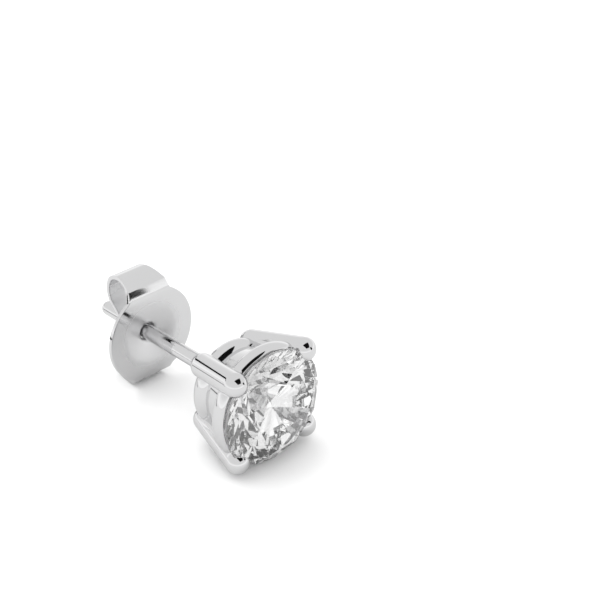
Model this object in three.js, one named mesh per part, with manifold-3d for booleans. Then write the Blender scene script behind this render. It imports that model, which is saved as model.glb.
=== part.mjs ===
// A stud earring with its friction back, lying as it rests on a table.
// Millimetres. The post runs along +Y, the stone faces -Y, +Z is up and the lowest point is at z = 0.
// "Back" is a distance behind the plane of the prong tips, measured along the post.

import * as THREE from 'three'
import { mergeVertices } from 'three/addons/utils/BufferGeometryUtils.js'
import Module from 'manifold-3d'

const wasm = await Module()
wasm.setup()

// ---- driving dimensions ----

// round brilliant stone
const stoneDiameter = 6.5
const girdleThickness = 0.16
const girdleForward = 0.138 // girdle's middle, in front of the prong tips' centres
const tableRatio = 0.57
const crownAngle = 34.5
const pavilionAngle = 40.8
const starLength = 0.5
const lowerHalfLength = 0.77
const girdleStepsPerHalf = 4

// four-prong basket
const prongRadius = 0.671
const prongTipOffset = 2.383 // sideways and up from the axis, at the front
const prongRootOffset = 1.689 // the same, at the back
const prongRootBack = 3.259
const upperRing = { back: 0.56, outerRadius: 3.38, wallHalf: 0.33, lengthHalf: 0.45 }
const lowerRing = { back: 2.94, outerRadius: 2.54, wallHalf: 0.66, lengthHalf: 0.6 }
const gallery = { front: 0.7, frontRadius: 2.85, back: 2.75, backRadius: 2.2, wall: 0.35 }
const baseBar = { width: 0.9, front: 2.97, back: 3.54 }
const seatClearance = 0.04

// post
const postRadius = 0.431
const postEndBack = 14.1

// friction back (clutch), folded from one strip of sheet
const sheetThickness = 0.22
const clutchBoreClearance = 0.05
// the plate's middle surface from the bore outwards
const plateSections = [
  { radius: 0.59, back: 10.72 }, // back end of the bore
  { radius: 0.62, back: 10.45 },
  { radius: 0.68, back: 10.24 }, // mouth of the bore
  { radius: 0.8, back: 10.135 },
  { radius: 1.0, back: 10.06 },
  { radius: 1.36, back: 9.945 }, // side of the dish
  { radius: 1.6, back: 9.87 },
  { radius: 1.8, back: 9.83 }, // start of the flat face
  { radius: 2.5, back: 9.83 }, // end of the flat face
  { radius: 2.86, back: 9.93 } // rolled rim
]
// the strip's middle line, from inside the plate round a loop to the end that grips the post:
// up is its height in the upper loop and down its depth in the lower one
const loopSections = [
  { back: 9.86, up: 2.15, down: 2.1, halfWidth: 1.42 },
  { back: 9.87, up: 2.55, down: 2.42, halfWidth: 1.38 },
  { back: 10.03, up: 2.98, down: 2.76, halfWidth: 1.3 }, // front fold
  { back: 10.55, up: 3.27, down: 3.06, halfWidth: 1.12 },
  { back: 11.3, up: 3.39, down: 3.24, halfWidth: 1.0 }, // top of the loop
  { back: 12.0, up: 3.03, down: 2.95, halfWidth: 0.95 },
  { back: 12.33, up: 2.32, down: 2.25, halfWidth: 0.93 },
  { back: 12.24, up: 1.6, down: 1.58, halfWidth: 0.92 },
  { back: 11.9, up: 1.2, down: 1.2, halfWidth: 0.92 }, // rear fold
  { back: 11.62, up: 0.88, down: 0.88, halfWidth: 0.91 },
  { back: 11.45, up: 0.62, down: 0.62, halfWidth: 0.9 } // end that grips the post
]
const loopSteps = 33
const loopFlat = 0.05 // how far each loop's round top is flattened, so that it rests steadily

// facets of the round pieces
const prongSides = 16
const capSteps = 4
const ringSides = 20 // an even number, so that a flat is at the bottom
const ringSectionSides = 12
const plateSides = 48

// ---- places worked out from them ----

// the upper ring's lowest flat and the clutch's lower loop rest on the table
const axisHeight = upperRing.outerRadius * Math.cos(Math.PI / ringSides)
const stoneRadius = stoneDiameter / 2
const boreRadius = postRadius + clutchBoreClearance

const radians = (degrees) => (degrees * Math.PI) / 180

// the origin is midway between the stone's table and the post's end
const crownHeight = stoneRadius * (1 - tableRatio) * Math.tan(radians(crownAngle))
const tableForward = girdleForward + girdleThickness / 2 + crownHeight
const tipY = (tableForward - postEndBack) / 2

// a point from its sideways, back and up distances, seen from the middle of the prong tips
const at = (across, back, up) => new THREE.Vector3(across, tipY + back, axisHeight + up)

// ---- joining and cutting ----

function toSolid(geometry) {
  const bare = geometry.clone()
  bare.deleteAttribute('normal')
  bare.deleteAttribute('uv')
  const merged = mergeVertices(bare, 1e-5)
  return new wasm.Manifold(
    new wasm.Mesh({
      numProp: 3,
      vertProperties: new Float32Array(merged.attributes.position.array),
      triVerts: new Uint32Array(merged.index.array)
    })
  )
}

function toGeometry(solid) {
  const mesh = solid.getMesh()
  const geometry = new THREE.BufferGeometry()
  geometry.setAttribute('position', new THREE.BufferAttribute(mesh.vertProperties, 3))
  geometry.setIndex(new THREE.BufferAttribute(mesh.triVerts, 1))
  geometry.computeVertexNormals()
  return geometry
}

const joined = (solids) => solids.reduce((whole, piece) => whole.add(piece))

// ---- shapes ----

// a closed mesh from flat polygons whose corners run anticlockwise seen from outside
function fromPolygons(polygons) {
  const corners = []
  for (const polygon of polygons) {
    for (let i = 1; i < polygon.length - 1; i++) {
      for (const corner of [polygon[0], polygon[i], polygon[i + 1]]) {
        corners.push(corner.x, corner.y, corner.z)
      }
    }
  }
  const geometry = new THREE.BufferGeometry()
  geometry.setAttribute('position', new THREE.Float32BufferAttribute(corners, 3))
  return geometry
}

// a turned piece on the post's axis, with flats at its top and bottom:
// the profile's points hold a radius (x) and a back distance (y)
function turned(profile, sides) {
  return new THREE.LatheGeometry(profile, sides)
    .rotateY(Math.PI / sides)
    .translate(0, tipY, axisHeight)
}

// a round rod with ball ends, between the centres of its two balls
function roundRod(start, end, radius, sides) {
  const length = start.distanceTo(end)
  const profile = []
  for (let i = 0; i <= capSteps; i++) {
    const angle = (Math.PI / 2) * (i / capSteps - 1)
    profile.push(new THREE.Vector2(radius * Math.cos(angle), radius * Math.sin(angle)))
  }
  for (let i = 0; i <= capSteps; i++) {
    const angle = (Math.PI / 2) * (i / capSteps)
    profile.push(new THREE.Vector2(radius * Math.cos(angle), length + radius * Math.sin(angle)))
  }
  profile[0].x = 0
  profile[profile.length - 1].x = 0
  const rod = new THREE.LatheGeometry(profile, sides)
  const direction = end.clone().sub(start).normalize()
  rod.applyQuaternion(
    new THREE.Quaternion().setFromUnitVectors(new THREE.Vector3(0, 1, 0), direction)
  )
  return rod.translate(start.x, start.y, start.z)
}

// ---- stone ----

// Every corner of the cut, worked out from the proportions. The scale grows it about its girdle.
function brilliant(scale) {
  const radius = stoneRadius * scale
  const halfGirdle = (girdleThickness / 2) * scale
  const mains = 8
  const mainStep = radians(360 / mains)
  const halfStep = mainStep / 2
  const corner = (distance, angle, forward) =>
    at(-distance * Math.sin(angle), -girdleForward - forward, distance * Math.cos(angle))

  // one side of the stone: direction is 1 for the crown and -1 for the pavilion
  function side(direction, slopeAngle, innerRadius, joinRadius) {
    const slope = Math.tan(radians(slopeAngle))
    const height = (distance) => halfGirdle + (radius - distance) * slope
    const joinHeight = height(joinRadius * Math.cos(halfStep))
    const inner = (k) => corner(innerRadius, k * mainStep, direction * height(innerRadius))
    const join = (k) => corner(joinRadius, (k + 0.5) * mainStep, direction * joinHeight)
    // each half facet is a plane, so it meets the girdle in a shallow scallop
    const halfFacetSlope =
      (joinHeight - halfGirdle) / ((radius - joinRadius) * Math.cos(halfStep / 2))
    const girdle = (step) => {
      const within = ((step % girdleStepsPerHalf) / girdleStepsPerHalf - 0.5) * halfStep
      const beyond = radius * (Math.cos(within) - Math.cos(halfStep / 2))
      const angle = (step / girdleStepsPerHalf) * halfStep
      return corner(radius, angle, direction * (halfGirdle - beyond * halfFacetSlope))
    }
    return { inner, join, girdle }
  }

  const tableRadius = tableRatio * radius
  const tableFlat = tableRadius * Math.cos(halfStep)
  const crown = side(1, crownAngle, tableRadius, tableFlat + starLength * (radius - tableFlat))
  const pavilion = side(-1, pavilionAngle, 0, (1 - lowerHalfLength) * radius)
  const polygons = []
  const table = []
  for (let k = 0; k < mains; k++) {
    const main = 2 * k * girdleStepsPerHalf
    table.push(crown.inner(k))
    polygons.push([crown.inner(k), crown.join(k - 1), crown.girdle(main), crown.join(k)])
    polygons.push([crown.inner(k), crown.join(k), crown.inner(k + 1)])
    polygons.push([
      pavilion.inner(k),
      pavilion.join(k),
      pavilion.girdle(main),
      pavilion.join(k - 1)
    ])
    for (const first of [main, main + girdleStepsPerHalf]) {
      const upper = [crown.join(k)]
      const lower = [pavilion.join(k)]
      for (let step = first; step <= first + girdleStepsPerHalf; step++) {
        upper.push(crown.girdle(step))
        lower.splice(1, 0, pavilion.girdle(step))
      }
      for (let step = first; step < first + girdleStepsPerHalf; step++) {
        polygons.push([
          crown.girdle(step),
          pavilion.girdle(step),
          pavilion.girdle(step + 1),
          crown.girdle(step + 1)
        ])
      }
      polygons.push(upper, lower)
    }
  }
  polygons.push(table)
  return fromPolygons(polygons)
}

// ---- basket and post ----

function prong(sideways, upwards) {
  const tip = at(sideways * prongTipOffset, 0, upwards * prongTipOffset)
  const root = at(sideways * prongRootOffset, prongRootBack, upwards * prongRootOffset)
  return roundRod(tip, root, prongRadius, prongSides)
}

function basketRing({ back, outerRadius, wallHalf, lengthHalf }) {
  const profile = []
  for (let i = 0; i <= ringSectionSides; i++) {
    const angle = (i / ringSectionSides) * 2 * Math.PI
    profile.push(
      new THREE.Vector2(
        outerRadius - wallHalf + wallHalf * Math.cos(angle),
        back + lengthHalf * Math.sin(angle)
      )
    )
  }
  return turned(profile, ringSides)
}

// the plain cup between the two rings
function galleryWall() {
  const { front, frontRadius, back, backRadius, wall } = gallery
  const profile = [
    new THREE.Vector2(frontRadius, front),
    new THREE.Vector2(backRadius, back),
    new THREE.Vector2(backRadius - wall, back),
    new THREE.Vector2(frontRadius - wall, front),
    new THREE.Vector2(frontRadius, front)
  ]
  return turned(profile, ringSides)
}

function crossBar(turn) {
  const length = 2 * Math.hypot(prongRootOffset, prongRootOffset) // from prong to prong
  const thickness = baseBar.back - baseBar.front
  const middle = at(0, (baseBar.back + baseBar.front) / 2, 0)
  return new THREE.BoxGeometry(length, thickness, baseBar.width)
    .rotateY(turn)
    .translate(middle.x, middle.y, middle.z)
}

function post() {
  const start = at(0, baseBar.back - postRadius, 0)
  const end = at(0, postEndBack - postRadius, 0)
  return roundRod(start, end, postRadius, prongSides)
}

function setting() {
  const pieces = []
  for (const sideways of [-1, 1]) {
    for (const upwards of [-1, 1]) {
      pieces.push(toSolid(prong(sideways, upwards)))
    }
  }
  pieces.push(toSolid(basketRing(upperRing)))
  pieces.push(toSolid(basketRing(lowerRing)))
  pieces.push(toSolid(galleryWall()))
  pieces.push(toSolid(crossBar(Math.PI / 4)))
  pieces.push(toSolid(crossBar(-Math.PI / 4)))
  pieces.push(toSolid(post()))
  const seat = toSolid(brilliant(1 + seatClearance / stoneRadius))
  return toGeometry(joined(pieces).subtract(seat))
}

// ---- friction back ----

// the plate's wall: half the sheet's thickness to each side of its middle line, square to the line
function plate() {
  const middle = plateSections.map(({ radius, back }) => new THREE.Vector2(radius, back))
  const half = sheetThickness / 2
  const front = []
  const rear = []
  middle.forEach((point, i) => {
    const before = middle[Math.max(i - 1, 0)]
    const after = middle[Math.min(i + 1, middle.length - 1)]
    const along = after.clone().sub(before).normalize()
    const across = new THREE.Vector2(-along.y, along.x).multiplyScalar(half)
    front.push(point.clone().sub(across))
    rear.push(point.clone().add(across))
  })
  const profile = [...front, ...rear.reverse()]
  profile.push(profile[0].clone())
  return turned(profile, plateSides)
}

// One loop of the strip: upwards is 1 for the upper loop and -1 for the lower one,
// which reaches down to the table exactly.
function loop(upwards) {
  const half = sheetThickness / 2
  const line = new THREE.CatmullRomCurve3(
    loopSections.map(
      ({ back, up, down, halfWidth }) =>
        new THREE.Vector3(halfWidth, back, upwards > 0 ? up : down)
    )
  )
  const points = line.getPoints(loopSteps)
  const outermost = Math.max(...points.map((point) => point.z)) - loopFlat
  for (const point of points) point.z = Math.min(point.z, outermost)
  const reach = upwards > 0 ? 1 : (axisHeight - half) / outermost
  const stations = points.map((point, i) => {
    const before = points[Math.max(i - 1, 0)]
    const after = points[Math.min(i + 1, loopSteps)]
    const along = after.clone().sub(before).setX(0).normalize()
    const place = (side, out) =>
      at(
        side * point.x,
        point.y - out * half * along.z,
        upwards * (point.z * reach + out * half * along.y)
      )
    return [place(-1, 1), place(1, 1), place(1, -1), place(-1, -1)]
  })
  const polygons = [stations[0], [...stations[loopSteps]].reverse()]
  for (let i = 0; i < loopSteps; i++) {
    for (let j = 0; j < 4; j++) {
      const next = (j + 1) % 4
      polygons.push([stations[i][j], stations[i + 1][j], stations[i + 1][next], stations[i][next]])
    }
  }
  if (upwards > 0) polygons.forEach((polygon) => polygon.reverse())
  return fromPolygons(polygons)
}

function bore() {
  const start = at(0, plateSections[0].back - 1, 0)
  const end = at(0, postEndBack, 0)
  return roundRod(start, end, boreRadius, prongSides)
}

function clutch() {
  const sheet = joined([toSolid(plate()), toSolid(loop(1)), toSolid(loop(-1))])
  return toGeometry(sheet.subtract(toSolid(bore())))
}

// ---- the assembly ----

function named(name, geometry, material) {
  const mesh = new THREE.Mesh(geometry, new THREE.MeshStandardMaterial(material))
  mesh.name = name
  return mesh
}

const polishedMetal = { color: '#d6d6d8', metalness: 1, roughness: 0.08 }
const satinMetal = { color: '#d2d2d4', metalness: 1, roughness: 0.25 }
const clearGem = { color: '#ffffff', metalness: 0, roughness: 0, transparent: true, opacity: 0.35 }

const stud = new THREE.Group()
stud.add(named('setting', setting(), polishedMetal))
stud.add(named('stone', brilliant(1), clearGem))

const friction = new THREE.Group()
friction.add(named('clutch', clutch(), satinMetal))

const earring = new THREE.Group()
earring.add(stud, friction)

export default earring
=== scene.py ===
import bpy
import math
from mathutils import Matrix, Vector


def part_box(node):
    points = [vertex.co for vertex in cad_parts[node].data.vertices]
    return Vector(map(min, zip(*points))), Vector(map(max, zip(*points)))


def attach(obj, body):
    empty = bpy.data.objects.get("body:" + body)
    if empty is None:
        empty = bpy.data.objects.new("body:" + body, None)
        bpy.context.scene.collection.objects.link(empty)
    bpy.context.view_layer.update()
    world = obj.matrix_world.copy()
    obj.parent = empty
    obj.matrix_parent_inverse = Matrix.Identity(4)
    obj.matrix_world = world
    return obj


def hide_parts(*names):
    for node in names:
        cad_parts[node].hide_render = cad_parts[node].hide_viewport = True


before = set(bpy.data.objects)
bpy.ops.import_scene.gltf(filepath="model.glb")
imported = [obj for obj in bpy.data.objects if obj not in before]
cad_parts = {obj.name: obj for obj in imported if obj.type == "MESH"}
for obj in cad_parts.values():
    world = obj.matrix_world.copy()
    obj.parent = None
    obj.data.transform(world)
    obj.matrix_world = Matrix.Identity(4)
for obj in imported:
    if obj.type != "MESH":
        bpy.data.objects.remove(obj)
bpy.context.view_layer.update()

# Pieces are modelled in millimetres and brought down to metres when they are finished.
metre = 0.001

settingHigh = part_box("setting")[1]
stoneLow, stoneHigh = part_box("stone")

post = {"radius": 0.431, "endBack": 14.1, "sides": 48}

# the post's axis, and the plane of the prong tips' centres that every "back" is measured from
axisHeight = (stoneLow.z + stoneHigh.z) / 2 / metre
tipPlane = settingHigh.y / metre - post["endBack"]


def at(across, back, up):
    return Vector((across, tipPlane + back, axisHeight + up))


# small helpers for working as by hand

def nothingSelected():
    if bpy.context.object and bpy.context.object.mode != "OBJECT":
        bpy.ops.object.mode_set(mode="OBJECT")
    bpy.ops.object.select_all(action="DESELECT")


def work(piece):
    nothingSelected()
    piece.select_set(True)
    bpy.context.view_layer.objects.active = piece


def clearMesh(kind):
    # nothing of the active piece stays selected, and it is left in object mode to mark what should be
    bpy.ops.object.mode_set(mode="EDIT")
    bpy.ops.mesh.select_mode(type=kind)
    bpy.ops.mesh.select_all(action="DESELECT")
    bpy.ops.object.mode_set(mode="OBJECT")


def selectPoints(piece, test):
    # leaves the piece in edit mode with the points that pass the test selected
    clearMesh("VERT")
    for point in piece.data.vertices:
        point.select = test(point.co)
    bpy.ops.object.mode_set(mode="EDIT")


def selectFaces(piece, test):
    # the same for faces, by their middles
    clearMesh("FACE")
    for face in piece.data.polygons:
        face.select = test(face.center)
    bpy.ops.object.mode_set(mode="EDIT")


def settle(piece):
    # the piece's place, turn and stretch go into its mesh
    work(piece)
    bpy.ops.object.transform_apply(location=True, rotation=True, scale=True)


def applyModifiers(piece):
    work(piece)
    for modifier in list(piece.modifiers):
        bpy.ops.object.modifier_apply(modifier=modifier.name)


def boolean(piece, other, operation):
    # the manifold solver gives the same closed solid each run; the exact one sometimes lost a prong
    change = piece.modifiers.new(operation.lower(), "BOOLEAN")
    change.operation = operation
    change.solver = "MANIFOLD"
    change.object = other
    applyModifiers(piece)
    bpy.data.objects.remove(other)


def finished(piece, name, material, smoothAngle):
    # brought down to metres, shaded, named and given its metal
    work(piece)
    piece.scale = (metre, metre, metre)
    bpy.ops.object.transform_apply(location=True, rotation=True, scale=True)
    bpy.ops.object.shade_smooth_by_angle(angle=math.radians(smoothAngle), keep_sharp_edges=True)
    piece.name = name
    piece.data.name = name
    piece.data.materials.clear()
    piece.data.materials.append(material)
    return piece


# the finishes of the metal and the stone
handlingMarks = {
    "hazeDetail": 4,
    "hazeSpread": (0.3, 0.7),  # the noise values that give the lowest and the highest gloss
    "lineDetail": 2,
    "lineTurn": (0.4, 0.2, 0.7),
    "lineStretch": (1, 0.06, 1),
    "depth": 0.3,
}
whiteGold = {"Light Tone": (0.77, 0.77, 0.775, 1), "Dark Tone": (0.74, 0.74, 0.745, 1)}
dishFinish = {
    "radius": 2.3,
    "roughness": 0.3,
    "fadeFrom": 0.8,  # these two are shares of the radius
    "fadeTo": 1.1,
}
gemLook = {"bend": 2.42, "frostTint": (0.9, 0.9, 0.91, 1), "frostScale": 20000}


def newGroup(name, inputs, outputs):
    # an empty node group with named sockets, and its input and output nodes
    group = bpy.data.node_groups.new(name, "ShaderNodeTree")
    for label, kind, value in inputs:
        socket = group.interface.new_socket(name=label, in_out="INPUT", socket_type=kind)
        socket.default_value = value
    for label, kind in outputs:
        group.interface.new_socket(name=label, in_out="OUTPUT", socket_type=kind)
    return group, group.nodes.new("NodeGroupInput"), group.nodes.new("NodeGroupOutput")


def buildHandling():
    # hairlines from a polishing cloth, a faint haze, and the tone and gloss that they give
    group, given, result = newGroup(
        "handling",
        [
            ("Light Tone", "NodeSocketColor", (0.7, 0.7, 0.7, 1)),
            ("Dark Tone", "NodeSocketColor", (0.6, 0.6, 0.6, 1)),
            ("Gloss Low", "NodeSocketFloat", 0.05),
            ("Gloss High", "NodeSocketFloat", 0.15),
            ("Haze Scale", "NodeSocketFloat", 300.0),
            ("Line Scale", "NodeSocketFloat", 9000.0),
        ],
        [
            ("Color", "NodeSocketColor"),
            ("Roughness", "NodeSocketFloat"),
            ("Height", "NodeSocketFloat"),
        ],
    )
    nodes, links = group.nodes, group.links
    place = nodes.new("ShaderNodeTexCoord")
    haze = nodes.new("ShaderNodeTexNoise")
    haze.inputs["Detail"].default_value = handlingMarks["hazeDetail"]
    stretch = nodes.new("ShaderNodeMapping")
    stretch.inputs["Rotation"].default_value = handlingMarks["lineTurn"]
    stretch.inputs["Scale"].default_value = handlingMarks["lineStretch"]
    lines = nodes.new("ShaderNodeTexNoise")
    lines.inputs["Detail"].default_value = handlingMarks["lineDetail"]
    tone = nodes.new("ShaderNodeMix")
    tone.data_type = "RGBA"
    gloss = nodes.new("ShaderNodeMapRange")
    links.new(place.outputs["Object"], haze.inputs["Vector"])
    links.new(given.outputs["Haze Scale"], haze.inputs["Scale"])
    links.new(place.outputs["Object"], stretch.inputs["Vector"])
    links.new(stretch.outputs["Vector"], lines.inputs["Vector"])
    links.new(given.outputs["Line Scale"], lines.inputs["Scale"])
    links.new(haze.outputs["Fac"], tone.inputs["Factor"])
    links.new(given.outputs["Dark Tone"], tone.inputs["A"])
    links.new(given.outputs["Light Tone"], tone.inputs["B"])
    links.new(haze.outputs["Fac"], gloss.inputs["Value"])
    gloss.inputs["From Min"].default_value = handlingMarks["hazeSpread"][0]
    gloss.inputs["From Max"].default_value = handlingMarks["hazeSpread"][1]
    links.new(given.outputs["Gloss Low"], gloss.inputs["To Min"])
    links.new(given.outputs["Gloss High"], gloss.inputs["To Max"])
    links.new(tone.outputs["Result"], result.inputs["Color"])
    links.new(gloss.outputs["Result"], result.inputs["Roughness"])
    links.new(lines.outputs["Fac"], result.inputs["Height"])
    return group


def metal(name, handling, values, lineHeight):
    # white gold with the marks of handling; the hairlines' height is in metres
    material = bpy.data.materials.new(name)
    material.use_nodes = True
    nodes, links = material.node_tree.nodes, material.node_tree.links
    shader = nodes["Principled BSDF"]
    shader.inputs["Metallic"].default_value = 1
    wear = nodes.new("ShaderNodeGroup")
    wear.node_tree = handling
    for label, value in values.items():
        wear.inputs[label].default_value = value
    bump = nodes.new("ShaderNodeBump")
    bump.inputs["Strength"].default_value = handlingMarks["depth"]
    bump.inputs["Distance"].default_value = lineHeight
    links.new(wear.outputs["Color"], shader.inputs["Base Color"])
    links.new(wear.outputs["Roughness"], shader.inputs["Roughness"])
    links.new(wear.outputs["Height"], bump.inputs["Height"])
    links.new(bump.outputs["Normal"], shader.inputs["Normal"])
    return material


def dullDish(material):
    # the wheel polishes the sheet's outside but not the pressed dish round the post
    group, given, result = newGroup(
        "unpolished middle",
        [
            ("Polished Roughness", "NodeSocketFloat", 0.05),
            ("Dull Roughness", "NodeSocketFloat", 0.3),
            ("Axis Height", "NodeSocketFloat", 0.003),
            ("Radius", "NodeSocketFloat", 0.002),
        ],
        [("Roughness", "NodeSocketFloat")],
    )
    inner, wires = group.nodes, group.links
    place = inner.new("ShaderNodeTexCoord")
    axis = inner.new("ShaderNodeCombineXYZ")
    level = inner.new("ShaderNodeVectorMath")
    level.operation = "MULTIPLY"
    level.inputs[1].default_value = (1, 0, 1)
    distance = inner.new("ShaderNodeVectorMath")
    distance.operation = "DISTANCE"
    share = inner.new("ShaderNodeMath")
    share.operation = "DIVIDE"
    edge = inner.new("ShaderNodeMapRange")
    edge.interpolation_type = "SMOOTHSTEP"
    edge.inputs["From Min"].default_value = dishFinish["fadeFrom"]
    edge.inputs["From Max"].default_value = dishFinish["fadeTo"]
    wires.new(place.outputs["Object"], level.inputs[0])
    wires.new(given.outputs["Axis Height"], axis.inputs["Z"])
    wires.new(level.outputs["Vector"], distance.inputs[0])
    wires.new(axis.outputs["Vector"], distance.inputs[1])
    wires.new(distance.outputs["Value"], share.inputs[0])
    wires.new(given.outputs["Radius"], share.inputs[1])
    wires.new(share.outputs["Value"], edge.inputs["Value"])
    wires.new(given.outputs["Dull Roughness"], edge.inputs["To Min"])
    wires.new(given.outputs["Polished Roughness"], edge.inputs["To Max"])
    wires.new(edge.outputs["Result"], result.inputs["Roughness"])
    nodes, links = material.node_tree.nodes, material.node_tree.links
    shader = nodes["Principled BSDF"]
    polish = shader.inputs["Roughness"].links[0].from_socket
    middle = nodes.new("ShaderNodeGroup")
    middle.node_tree = group
    middle.inputs["Dull Roughness"].default_value = dishFinish["roughness"]
    middle.inputs["Axis Height"].default_value = axisHeight * metre
    middle.inputs["Radius"].default_value = dishFinish["radius"] * metre
    links.new(polish, middle.inputs["Polished Roughness"])
    links.new(middle.outputs["Roughness"], shader.inputs["Roughness"])


def gem(name, girdleY, girdleHalf):
    # polished facets, and a girdle that is left frosted as it comes from the wheel
    material = bpy.data.materials.new(name)
    material.use_nodes = True
    nodes, links = material.node_tree.nodes, material.node_tree.links
    shader = nodes["Principled BSDF"]
    shader.inputs["Transmission Weight"].default_value = 1
    shader.inputs["IOR"].default_value = gemLook["bend"]
    group, given, result = newGroup(
        "frosted girdle",
        [
            ("Middle", "NodeSocketFloat", 0.0),
            ("Half Height", "NodeSocketFloat", 0.0001),
        ],
        [("Color", "NodeSocketColor"), ("Roughness", "NodeSocketFloat")],
    )
    inner, wires = group.nodes, group.links
    place = inner.new("ShaderNodeTexCoord")
    split = inner.new("ShaderNodeSeparateXYZ")
    near = inner.new("ShaderNodeMath")
    near.operation = "COMPARE"
    grain = inner.new("ShaderNodeTexNoise")
    grain.inputs["Scale"].default_value = gemLook["frostScale"]
    frost = inner.new("ShaderNodeMath")
    frost.operation = "MULTIPLY"
    tint = inner.new("ShaderNodeMix")
    tint.data_type = "RGBA"
    tint.inputs["A"].default_value = (1, 1, 1, 1)
    tint.inputs["B"].default_value = gemLook["frostTint"]
    wires.new(place.outputs["Object"], split.inputs["Vector"])
    wires.new(split.outputs["Y"], near.inputs[0])
    wires.new(given.outputs["Middle"], near.inputs[1])
    wires.new(given.outputs["Half Height"], near.inputs[2])
    wires.new(place.outputs["Object"], grain.inputs["Vector"])
    wires.new(near.outputs["Value"], frost.inputs[0])
    wires.new(grain.outputs["Fac"], frost.inputs[1])
    wires.new(near.outputs["Value"], tint.inputs["Factor"])
    wires.new(tint.outputs["Result"], result.inputs["Color"])
    wires.new(frost.outputs["Value"], result.inputs["Roughness"])
    girdle = nodes.new("ShaderNodeGroup")
    girdle.node_tree = group
    girdle.inputs["Middle"].default_value = girdleY
    girdle.inputs["Half Height"].default_value = girdleHalf
    links.new(girdle.outputs["Color"], shader.inputs["Base Color"])
    links.new(girdle.outputs["Roughness"], shader.inputs["Roughness"])
    return material


handling = buildHandling()
polishedGloss = {**whiteGold, "Gloss Low": 0.03, "Gloss High": 0.07}
satinGloss = {**whiteGold, "Gloss Low": 0.06, "Gloss High": 0.1}
polishedMetal = metal("polishedWhiteGold", handling, polishedGloss, 0.0000003)
satinMetal = metal("satinWhiteGold", handling, satinGloss, 0.0000004)
dullDish(satinMetal)
print("materials made")


# the stone: girdleForward is how far its girdle's middle lies in front of the tips' plane
stoneShape = {"girdleForward": 0.138, "girdleHalf": 0.081}

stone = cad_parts["stone"]
clearGem = gem(
    "clearGem",
    (tipPlane - stoneShape["girdleForward"]) * metre,
    stoneShape["girdleHalf"] * metre,
)
for slot in stone.material_slots:
    slot.material = clearGem
print("stone polished")


# the setting: prongs, rings, cup, base and post, soldered into one
prong = {"radius": 0.671, "tipOffset": 2.383, "rootOffset": 1.689, "rootBack": 3.259, "sides": 64}
upperRing = {"back": 0.56, "outerRadius": 3.338, "wallHalf": 0.3, "lengthHalf": 0.45}
lowerRing = {"back": 2.94, "outerRadius": 2.54, "wallHalf": 0.66, "lengthHalf": 0.6}
gallery = {"front": 0.7, "frontRadius": 2.85, "back": 2.75, "backRadius": 2.2, "wall": 0.35}
baseBar = {"width": 0.9, "front": 2.97, "back": 3.54, "edge": 0.12, "edgeSteps": 3}
ringMesh = {"sides": 144, "sectionSides": 48}
seatFit = {"clearance": 0.02, "weld": 0.0005}
rodShortStep = 0.03
settingSmoothAngle = 35


def roundRod(start, end, radius, sides):
    # a ball whose far half is drawn out: short first and last steps keep its shading off the rod
    length = (end - start).length
    bpy.ops.mesh.primitive_uv_sphere_add(segments=sides, ring_count=sides // 2, radius=radius)
    rod = bpy.context.object
    selectFaces(rod, lambda centre: centre.z > 0)
    for step in (rodShortStep, length - 2 * rodShortStep, rodShortStep):
        bpy.ops.mesh.extrude_region_move(TRANSFORM_OT_translate={"value": (0, 0, step)})
    bpy.ops.object.mode_set(mode="OBJECT")
    rod.rotation_euler = (end - start).to_track_quat("Z", "Y").to_euler()
    rod.location = start
    settle(rod)
    return rod


def basketRing(ring):
    # a torus, drawn out along the post
    bpy.ops.mesh.primitive_torus_add(
        major_segments=ringMesh["sides"],
        minor_segments=ringMesh["sectionSides"],
        major_radius=ring["outerRadius"] - ring["wallHalf"],
        minor_radius=ring["wallHalf"],
        location=at(0, ring["back"], 0),
        rotation=(math.pi / 2, 0, 0),
    )
    hoop = bpy.context.object
    hoop.scale.z = ring["lengthHalf"] / ring["wallHalf"]
    settle(hoop)
    return hoop


def galleryWall():
    # the plain cup between the two rings
    bpy.ops.mesh.primitive_cone_add(
        vertices=ringMesh["sides"],
        radius1=gallery["frontRadius"],
        radius2=gallery["backRadius"],
        depth=gallery["back"] - gallery["front"],
        end_fill_type="NOTHING",
        location=at(0, (gallery["front"] + gallery["back"]) / 2, 0),
        rotation=(-math.pi / 2, 0, 0),
    )
    cup = bpy.context.object
    settle(cup)
    wall = cup.modifiers.new("wall", "SOLIDIFY")
    wall.thickness = gallery["wall"]
    wall.offset = -1
    applyModifiers(cup)
    return cup


def crossBar(turn):
    # a flat bar from one prong's root to the opposite one's
    middle = at(0, (baseBar["front"] + baseBar["back"]) / 2, 0)
    bpy.ops.mesh.primitive_cube_add(size=1, location=middle)
    bar = bpy.context.object
    length = 2 * math.hypot(prong["rootOffset"], prong["rootOffset"])
    bar.scale = (length, baseBar["back"] - baseBar["front"], baseBar["width"])
    bar.rotation_euler = (0, turn, 0)
    settle(bar)
    bpy.ops.object.mode_set(mode="EDIT")
    bpy.ops.mesh.select_all(action="SELECT")
    bpy.ops.mesh.bevel(offset=baseBar["edge"], segments=baseBar["edgeSteps"])
    bpy.ops.object.mode_set(mode="OBJECT")
    return bar


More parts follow.
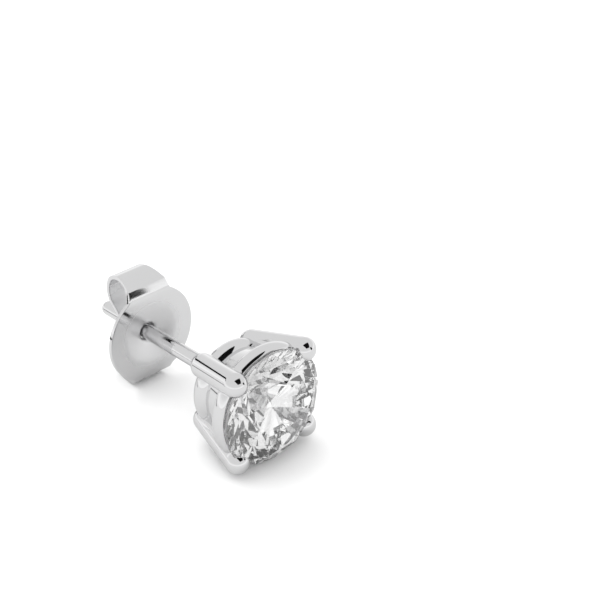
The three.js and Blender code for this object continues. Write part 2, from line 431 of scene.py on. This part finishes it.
def stoneSeat():
    # a copy of the stone, a little larger, that cuts its own seat
    seat = stone.copy()
    seat.data = stone.data.copy()
    seat.parent = None
    bpy.context.scene.collection.objects.link(seat)
    work(seat)
    seat.scale = (1 / metre, 1 / metre, 1 / metre)
    bpy.ops.object.transform_apply(location=True, rotation=True, scale=True)
    bpy.ops.object.mode_set(mode="EDIT")
    bpy.ops.mesh.select_all(action="SELECT")
    bpy.ops.mesh.remove_doubles(threshold=seatFit["weld"])
    stoneRadius = (stoneHigh.x - stoneLow.x) / 2 / metre
    grow = 1 + seatFit["clearance"] / stoneRadius
    bpy.ops.transform.resize(
        value=(grow, grow, grow),
        center_override=at(0, -stoneShape["girdleForward"], 0),
    )
    bpy.ops.object.mode_set(mode="OBJECT")
    return seat


def makeSetting():
    whole = roundRod(
        at(0, baseBar["back"] - post["radius"], 0),
        at(0, post["endBack"] - post["radius"], 0),
        post["radius"],
        post["sides"],
    )
    parts = [basketRing(upperRing), basketRing(lowerRing), galleryWall()]
    parts += [crossBar(math.pi / 4), crossBar(-math.pi / 4)]
    for sideways in (-1, 1):
        for upwards in (-1, 1):
            tipOffset, rootOffset = prong["tipOffset"], prong["rootOffset"]
            tip = at(sideways * tipOffset, 0, upwards * tipOffset)
            root = at(sideways * rootOffset, prong["rootBack"], upwards * rootOffset)
            parts.append(roundRod(tip, root, prong["radius"], prong["sides"]))
    for part in parts:
        boolean(whole, part, "UNION")
    boolean(whole, stoneSeat(), "DIFFERENCE")
    return finished(whole, "setting_metal", polishedMetal, settingSmoothAngle)


setting = makeSetting()
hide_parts("setting")
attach(setting, "stud")
print("setting soldered:", len(setting.data.polygons), "faces")


# the clutch: one strip of sheet metal, pressed and folded
sheet = {
    "thickness": 0.22,
    "sides": 96,
    "edge": 0.05,
    "edgeSteps": 3,
    "edgeAngle": 60,
    "smoothAngle": 20,
}
dish = [
    {"radius": 2.86, "back": 9.83},  # rim
    {"radius": 2.5, "back": 9.83},
    {"radius": 1.8, "back": 9.83},  # end of the flat face
    {"radius": 1.6, "back": 9.865},
    {"radius": 1.36, "back": 9.93},  # side of the dish
    {"radius": 1.0, "back": 10.04},
    {"radius": 0.8, "back": 10.1},
    {"radius": 0.69, "back": 10.15},  # mouth of the bore
    {"radius": 0.62, "back": 10.23},
    {"radius": 0.6, "back": 10.34},
    {"radius": 0.59, "back": 10.72},
]
bend = {"start": 2.4, "rows": 5, "curve": 1.15}
strip = {"halfAngle": 30, "angleSlack": 0.5, "near": 0.01}  # the part of the rim that a loop grows from
lineSteps = {"dish": 5, "loop": 8, "grip": 4}  # rows of mesh between each two rows of these lists
loopRows = [
    {"back": 10.03, "up": 2.98, "down": 2.76, "halfWidth": 1.3},  # front fold
    {"back": 10.55, "up": 3.27, "down": 3.06, "halfWidth": 1.12},
    {"back": 11.3, "up": 3.34, "down": 3.226, "halfWidth": 1.0},  # top of the loop
    {"back": 12.0, "up": 3.03, "down": 2.95, "halfWidth": 0.95},
    {"back": 12.33, "up": 2.32, "down": 2.25, "halfWidth": 0.93},
    {"back": 12.24, "up": 1.6, "down": 1.58, "halfWidth": 0.92},
    {"back": 11.9, "up": 1.2, "down": 1.2, "halfWidth": 0.92},  # rear fold
]
gripRows = [
    {"back": 11.9, "up": 1.2, "down": 1.2, "halfWidth": 0.92},
    {"back": 11.62, "up": 0.88, "down": 0.88, "halfWidth": 0.91},
    {"back": 11.45, "up": 0.62, "down": 0.62, "halfWidth": 0.9},  # end that grips the post
]


def smoothLine(points, steps):
    # a smooth line through all of the points, with that many steps between each two; the pull at
    # a point goes by the square roots of the spans beside it, so uneven rows make no bulge
    line = [points[0]]
    padded = [2 * points[0] - points[1], *points, 2 * points[-1] - points[-2]]
    for i in range(1, len(padded) - 2):
        before, start, end, after = padded[i - 1 : i + 3]
        startSpan, span, endSpan = (
            math.sqrt((b - a).length)
            for a, b in ((before, start), (start, end), (end, after))
        )
        startPull = (start - before) / startSpan - (end - before) / (startSpan + span)
        startPull = (startPull + (end - start) / span) * span
        endPull = (end - start) / span - (after - start) / (span + endSpan)
        endPull = (endPull + (after - end) / endSpan) * span
        for step in range(1, steps + 1):
            t = step / steps
            line.append(
                start * (2 * t**3 - 3 * t**2 + 1)
                + startPull * (t**3 - 2 * t**2 + t)
                + end * (3 * t**2 - 2 * t**3)
                + endPull * (t**3 - t**2)
            )
    return line


def extrudeTo(stretch, centre, move):
    # the selected edges are drawn out by that move, then stretched about that centre
    bpy.ops.mesh.extrude_edges_move(TRANSFORM_OT_translate={"value": move})
    bpy.ops.transform.resize(value=stretch, center_override=centre)


def pressDish():
    # from the rim in to the bore, ring by ring
    rim = dish[0]
    bpy.ops.mesh.primitive_circle_add(
        vertices=sheet["sides"],
        radius=rim["radius"],
        location=at(0, rim["back"], 0),
        rotation=(math.pi / 2, 0, 0),
    )
    plate = bpy.context.object
    settle(plate)
    bpy.ops.object.mode_set(mode="EDIT")
    bpy.ops.mesh.select_all(action="SELECT")
    line = smoothLine([Vector((row["radius"], row["back"])) for row in dish], lineSteps["dish"])
    for last, new in zip(line, line[1:]):
        shrink = new.x / last.x
        extrudeTo((shrink, 1, shrink), at(0, new.y, 0), (0, new.y - last.y, 0))
    bpy.ops.object.mode_set(mode="OBJECT")
    return plate


def growLoop(plate, upwards, key):
    # the rim's top or bottom stretch is drawn out to a straight fold, then round the loop
    halfAngle = math.radians(strip["halfAngle"] + strip["angleSlack"])
    rimRadius = dish[0]["radius"]
    middle = at(0, 0, 0)

    def onRim(point):
        away = point - middle
        radius = math.hypot(away.x, away.z)
        angle = math.atan2(abs(away.x), away.z * upwards)
        return abs(radius - rimRadius) < strip["near"] and angle < halfAngle

    selectPoints(plate, onRim)
    loop, grip = (
        [Vector((row["halfWidth"], row["back"], row[key])) for row in rows]
        for rows in (loopRows, gripRows)
    )
    foldUp = loop[0].z
    rimHalfWidth = rimRadius * math.sin(math.radians(strip["halfAngle"]))
    steps = bend["rows"]
    narrow = (loop[0].x / rimHalfWidth) ** (1 / steps)
    foldCentre = at(0, dish[0]["back"], upwards * foldUp)
    for step in range(steps):
        left = (steps - step - 1) / (steps - step)
        extrudeTo((narrow, 1, left), foldCentre, (0, 0, 0))
    # the loop starts at the fold, still level with the rim: the plate is bent back to it afterwards
    line = smoothLine(loop, lineSteps["loop"]) + smoothLine(grip, lineSteps["grip"])[1:]
    last = Vector((loop[0].x, dish[0]["back"], foldUp))
    for new in line[1:]:
        extrudeTo(
            (new.x / last.x, 1, 1),
            at(0, new.y, upwards * new.z),
            (0, new.y - last.y, upwards * (new.z - last.z)),
        )
        last = new
    bpy.ops.object.mode_set(mode="OBJECT")


def bendPlate(plate):
    # the flat sheet curves back a little before each fold
    for upwards, key in ((1, "up"), (-1, "down")):
        foldUp, foldBack = loopRows[0][key], loopRows[0]["back"]
        start = bend["start"] - (loopRows[0]["up"] - foldUp)
        for point in plate.data.vertices:
            away = point.co - at(0, 0, 0)
            height = away.z * upwards
            if height > start and abs(away.y - dish[0]["back"]) < strip["near"]:
                share = (height - start) / (foldUp - start)
                point.co.y += (foldBack - dish[0]["back"]) * share ** bend["curve"]


def makeClutch():
    plate = pressDish()
    growLoop(plate, 1, "up")
    growLoop(plate, -1, "down")
    bendPlate(plate)
    work(plate)
    bpy.ops.object.mode_set(mode="EDIT")
    bpy.ops.mesh.select_all(action="SELECT")
    bpy.ops.mesh.normals_make_consistent(inside=False)
    bpy.ops.object.mode_set(mode="OBJECT")
    wall = plate.modifiers.new("wall", "SOLIDIFY")
    wall.thickness = sheet["thickness"]
    wall.offset = 0
    edge = plate.modifiers.new("edge", "BEVEL")
    edge.width = sheet["edge"]
    edge.segments = sheet["edgeSteps"]
    edge.limit_method = "ANGLE"
    edge.angle_limit = math.radians(sheet["edgeAngle"])
    applyModifiers(plate)
    return finished(plate, "clutch_sheet", satinMetal, sheet["smoothAngle"])


clutch = makeClutch()
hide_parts("clutch")
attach(clutch, "back")
print("clutch folded:", len(clutch.data.polygons), "faces")


# the floor, lights and camera, in metres
floorLook = {
    "size": 1.2,
    "color": (0.86, 0.86, 0.86, 1),
    "mirroredPaintedShade": (0.6, 0.6, 0.6, 1),  # painted shade: the floor's tone only where polished metal mirrors it, darker than the floor itself
    "roughness": 0.9,
}


def makeFloor():
    bpy.ops.mesh.primitive_plane_add(size=floorLook["size"])
    floor = bpy.context.object
    floor.name = "floor"
    material = bpy.data.materials.new("paleFloor")
    material.use_nodes = True
    nodes, links = material.node_tree.nodes, material.node_tree.links
    shader = nodes["Principled BSDF"]
    # glossy rays get the painted-shade tone, so the floor is painted darker in the metal's reflections
    # than it looks to the camera
    path = nodes.new("ShaderNodeLightPath")
    tone = nodes.new("ShaderNodeMix")
    tone.data_type = "RGBA"
    tone.inputs["A"].default_value = floorLook["color"]
    tone.inputs["B"].default_value = floorLook["mirroredPaintedShade"]
    links.new(path.outputs["Is Glossy Ray"], tone.inputs["Factor"])
    links.new(tone.outputs["Result"], shader.inputs["Base Color"])
    shader.inputs["Roughness"].default_value = floorLook["roughness"]
    shader.inputs["Specular IOR Level"].default_value = 0
    floor.data.materials.append(material)


softTop = {"place": (-0.05, 0.12, 0.3), "size": (0.3, 0.2), "power": 0.3}


def softLight(name, look):
    # aimed at the middle of the table, and not mirrored in the metal
    light = bpy.data.lights.new(name, "AREA")
    light.shape = "RECTANGLE"
    light.size, light.size_y = look["size"]
    light.energy = look["power"]
    lamp = bpy.data.objects.new(name, light)
    lamp.location = look["place"]
    lamp.rotation_euler = (-Vector(look["place"])).to_track_quat("-Z", "Y").to_euler()
    lamp.visible_camera = False
    lamp.visible_glossy = False
    bpy.context.scene.collection.objects.link(lamp)


lying = (0, 0, 0)
facingFront = (math.pi / 2, 0, 0)
blackCards = {
    "cardOver": {"middle": (0.012, -0.0885, 0.1), "size": (0.096, 0.123), "turn": lying},
    "cardBehind": {"middle": (-0.02, 0.15, 0.05), "size": (0.12, 0.013), "turn": facingFront},
    "cardBehindLow": {"middle": (-0.0185, 0.02, 0.0002), "size": (0.019, 0.006), "turn": lying},
    "cardRight": {"middle": (0.011, -0.02, 0.0104), "size": (0.006, 0.0064), "turn": facingFront},
}
blackPaper = bpy.data.materials.new("blackPaper")
blackPaper.use_nodes = True
paperShader = blackPaper.node_tree.nodes["Principled BSDF"]
paperShader.inputs["Base Color"].default_value = (0.004, 0.004, 0.004, 1)
paperShader.inputs["Specular IOR Level"].default_value = 0


def blackCard(name, look):
    # held near the table for its dark reflection: it casts no shadow and isn't seen itself
    bpy.ops.mesh.primitive_plane_add(size=1, location=look["middle"], rotation=look["turn"])
    card = bpy.context.object
    card.name = name
    card.scale = (*look["size"], 1)
    settle(card)
    card.data.materials.append(blackPaper)
    card.visible_camera = False
    card.visible_diffuse = False
    card.visible_shadow = False


studioLook = {"strength": 1.4, "overhead": 0.86, "low": 1.15, "lowEnds": 0.35}


def makeStudio():
    # a white tent that lights the table at full strength and looks greyer in metal and stone,
    # most so overhead; lowEnds is the height at which the low part's tone has faded out
    studio = bpy.data.worlds.new("studio")
    studio.use_nodes = True
    nodes, links = studio.node_tree.nodes, studio.node_tree.links
    nodes["Background"].inputs["Color"].default_value = (1, 1, 1, 1)
    path = nodes.new("ShaderNodeLightPath")
    plain = nodes.new("ShaderNodeMath")
    plain.operation = "MAXIMUM"
    strength = nodes.new("ShaderNodeMix")
    strength.inputs["B"].default_value = studioLook["strength"]
    place = nodes.new("ShaderNodeTexCoord")
    split = nodes.new("ShaderNodeSeparateXYZ")
    fade = nodes.new("ShaderNodeMapRange")
    fade.interpolation_type = "SMOOTHSTEP"
    fade.inputs["From Max"].default_value = studioLook["lowEnds"]
    fade.inputs["To Min"].default_value = studioLook["low"]
    fade.inputs["To Max"].default_value = studioLook["overhead"]
    links.new(place.outputs["Generated"], split.inputs["Vector"])
    links.new(split.outputs["Z"], fade.inputs["Value"])
    links.new(fade.outputs["Result"], strength.inputs["A"])
    links.new(path.outputs["Is Diffuse Ray"], plain.inputs[0])
    links.new(path.outputs["Is Camera Ray"], plain.inputs[1])
    links.new(plain.outputs["Value"], strength.inputs["Factor"])
    links.new(strength.outputs["Result"], nodes["Background"].inputs["Strength"])
    bpy.context.scene.world = studio


makeStudio()
makeFloor()
softLight("top", softTop)
for name, look in blackCards.items():
    blackCard(name, look)

view = {
    "lens": 80.224,
    "sensor": 36,
    "nearest": 0.001,
    "farthest": 10,
    "away": (-38.515, -41.723, 39.829),  # millimetres from the middle of the prong tips
    "forward": (0.60082, 0.61698, -0.50828),
}
camera = bpy.data.cameras.new("camera")
camera.lens = view["lens"]
camera.sensor_width = view["sensor"]
camera.clip_start = view["nearest"]
camera.clip_end = view["farthest"]
cameraStand = bpy.data.objects.new("camera", camera)
cameraStand.location = (at(0, 0, 0) + Vector(view["away"])) * metre
cameraStand.rotation_euler = Vector(view["forward"]).to_track_quat("-Z", "Y").to_euler()
bpy.context.scene.collection.objects.link(cameraStand)
bpy.context.scene.camera = cameraStand

bounces = {"all": 32, "inStone": 32, "onMetal": 12, "brightest": 4}
scene = bpy.context.scene
scene.view_settings.view_transform = "Standard"
scene.cycles.max_bounces = bounces["all"]
scene.cycles.transmission_bounces = bounces["inStone"]
scene.cycles.glossy_bounces = bounces["onMetal"]
scene.cycles.sample_clamp_indirect = bounces["brightest"]
print("studio lit")
